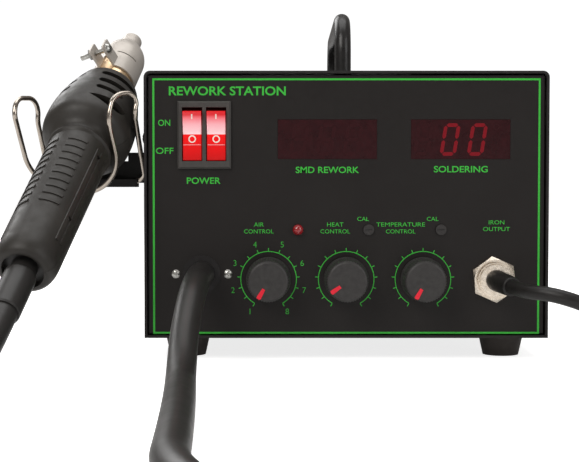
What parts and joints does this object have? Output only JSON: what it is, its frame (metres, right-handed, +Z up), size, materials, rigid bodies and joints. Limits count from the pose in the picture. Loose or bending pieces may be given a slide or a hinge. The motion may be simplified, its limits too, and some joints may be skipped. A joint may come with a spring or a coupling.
{
  "type": "hot air rework station",
  "caption": "Bench rework station: black steel case with dials, switches and displays, a hot-air gun on an air hose in a wire cradle, and a soldering iron on a cord.",
  "frame": {"origin": "middle of the footprint of the station and its cradled gun, on the desk, without the cords", "axes": "+Z up, -Y out of the front panel, +X to the right as seen from the front; the case's long side lies along Y"},
  "size_m": [0.3978, 0.7935, 0.167],
  "materials": {
    "case_paint": "fine satin black powder coat",
    "panel_paint": "satin black with a printed green border and scales",
    "foot_rubber": "matt black rubber",
    "zinc_screw": "zinc plated",
    "black_screw": "black oxide",
    "handle_coat": "semi-gloss black coat on a steel rod",
    "switch_plastic": "black moulded plastic",
    "rocker_red": "clear red moulding",
    "display_red": "smoked red filter",
    "display_module": "black module",
    "circuit_board": "green solder mask",
    "board_part": "mixed parts",
    "knob_plastic": "black moulding with a red pointer",
    "shaft_steel": "plated",
    "led_red": "clear dark red",
    "cal_plastic": "black",
    "gland_plastic": "black",
    "nickel": "bright nickel plate",
    "wire_nickel": "nickel plated spring wire",
    "cord_rubber": "black silicone",
    "hose_rubber": "matt black silicone",
    "pump_parts": "die-cast",
    "pump_rubber": "soft rubber",
    "core_steel": "varnished laminations",
    "winding": "yellow tape over copper",
    "grip_plastic": "black heat-proof moulding, light sheen",
    "heater_brass": "heat-tinted gold",
    "heater_ceramic": "white ceramic",
    "nozzle_steel": "satin stainless",
    "iron_grip": "black moulding with a foam band",
    "iron_steel": "satin steel",
    "tip_metal": "plated copper"
  },
  "bodies": {
    "station": {"air_display_window": "display_red", "air_hose": "hose_rubber", "air_pump": "pump_parts", "base_tray": "case_paint", "board_parts": "board_part", "carry_handle": "handle_coat", "cover_screws": "black_screw", "display_board": "circuit_board", "display_modules": "display_module", "feet": "foot_rubber", "foot_screws": "zinc_screw", "front_panel": "panel_paint", "fuse_holder": "switch_plastic", "gland_screws": "black_screw", "handle_fittings": "zinc_screw", "holder_bracket": "case_paint", "holder_screws": "black_screw", "holder_wire": "wire_nickel", "hose_gland": "gland_plastic", "iron_barrel": "iron_steel", "iron_cord": "cord_rubber", "iron_cord_coil": "cord_rubber", "iron_display_window": "display_red", "iron_handle": "iron_grip", "iron_plug": "nickel", "iron_socket": "nickel", "iron_tip": "tip_metal", "led_lamp": "led_red", "main_board": "circuit_board", "mains_inlet": "switch_plastic", "plug_boot": "cord_rubber", "potentiometers": "shaft_steel", "pump_mounts": "pump_rubber", "pump_tube": "pump_rubber", "rear_panel": "case_paint", "socket_nut": "nickel", "switch_housing": "switch_plastic", "top_cover": "case_paint", "transformer_core": "core_steel", "transformer_winding": "winding"},
    "rocker_left": {"rocker_left": "rocker_red"},
    "rocker_right": {"rocker_right": "rocker_red"},
    "air_knob": {"air_knob": "knob_plastic", "air_shaft": "shaft_steel"},
    "heat_knob": {"heat_knob": "knob_plastic", "heat_shaft": "shaft_steel"},
    "temperature_knob": {"temperature_knob": "knob_plastic", "temperature_shaft": "shaft_steel"},
    "heat_cal_plug": {"heat_cal_plug": "cal_plastic"},
    "temperature_cal_plug": {"temperature_cal_plug": "cal_plastic"},
    "fuse_cap": {"fuse_cap": "switch_plastic"},
    "gun": {"gun_shell_upper": "grip_plastic", "gun_shell_lower": "grip_plastic", "gun_screws": "zinc_screw", "vent_collar": "grip_plastic", "heater_tube": "heater_brass", "heater_core": "heater_ceramic", "hose_sleeve": "hose_rubber"},
    "nozzle": {"nozzle": "nozzle_steel", "clamp_screw": "zinc_screw"}
  },
  "joints": [
    {"name": "rocker_left_tilt", "type": "hinge", "parent": "station", "child": "rocker_left", "pos_m": [-0.0433, -0.0725, 0.1046], "axis": [1, 0, 0], "range_deg": [-18, 0]},
    {"name": "rocker_right_tilt", "type": "hinge", "parent": "station", "child": "rocker_right", "pos_m": [-0.0322, -0.0725, 0.1046], "axis": [1, 0, 0], "range_deg": [-18, 0]},
    {"name": "air_knob_turn", "type": "hinge", "parent": "station", "child": "air_knob", "pos_m": [-0.0081, -0.0757, 0.0375], "axis": [0, 1, 0], "range_deg": [0, 300]},
    {"name": "heat_knob_turn", "type": "hinge", "parent": "station", "child": "heat_knob", "pos_m": [0.0279, -0.0757, 0.0375], "axis": [0, 1, 0], "range_deg": [-25, 275]},
    {"name": "temperature_knob_turn", "type": "hinge", "parent": "station", "child": "temperature_knob", "pos_m": [0.0635, -0.0757, 0.0375], "axis": [0, 1, 0], "range_deg": [0, 300]},
    {"name": "heat_cal_plug_pull", "type": "slide", "parent": "station", "child": "heat_cal_plug", "axis": [0, -1, 0], "range_m": [0, 0.006]},
    {"name": "temperature_cal_plug_pull", "type": "slide", "parent": "station", "child": "temperature_cal_plug", "axis": [0, -1, 0], "range_m": [0, 0.006]},
    {"name": "fuse_cap_pull", "type": "slide", "parent": "station", "child": "fuse_cap", "axis": [0, 1, 0], "range_m": [0, 0.03]},
    {"name": "gun_lift", "type": "slide", "parent": "station", "child": "gun", "axis": [0, 0.1701, 0.9854], "range_m": [0, 0.05]},
    {"name": "nozzle_pull", "type": "slide", "parent": "gun", "child": "nozzle", "axis": [0.1561, 0.7976, 0.5827], "range_m": [0, 0.02]}
  ]
}
